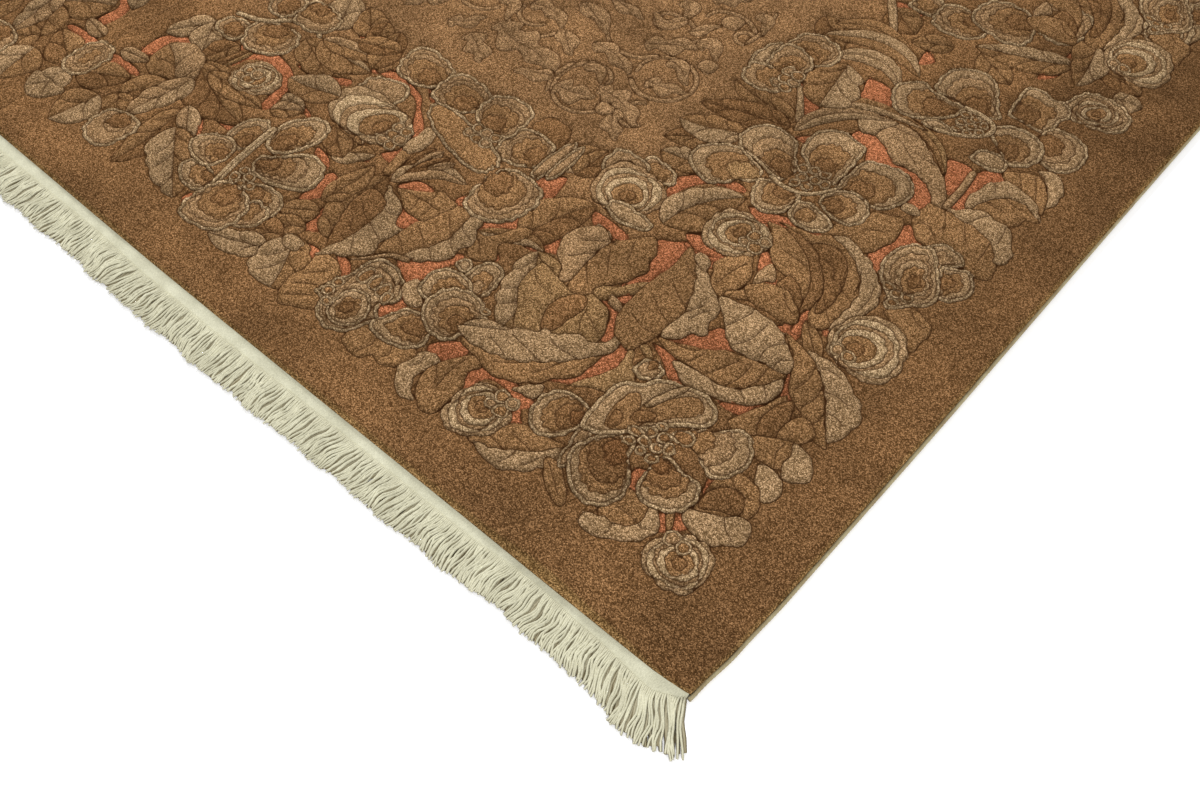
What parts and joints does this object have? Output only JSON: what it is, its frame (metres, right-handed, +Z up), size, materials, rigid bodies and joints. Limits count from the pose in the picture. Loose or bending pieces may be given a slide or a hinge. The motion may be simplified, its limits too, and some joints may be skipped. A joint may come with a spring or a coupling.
{
  "type": "oushak rug",
  "caption": "Flat rectangular carved-pile wool rug with a floral wreath border, overcast side selvedges and a flat-woven fringed strip at each end.",
  "frame": {"origin": "on the floor, under the middle of the rug", "axes": "+Z up from the floor, +Y along the rug's length towards its back fringe, +X across its width"},
  "size_m": [2.4592, 3.2008, 0.012],
  "materials": {
    "pile": "carved wool pile, matt",
    "selvedge": "overcast wool yarn, matt",
    "fringe": "undyed cotton warps, matt"
  },
  "bodies": {
    "root": {"pile_body": "pile", "selvedge_right": "selvedge", "selvedge_left": "selvedge", "fringed_end_front": "fringe", "fringed_end_back": "fringe"}
  },
  "joints": []
}
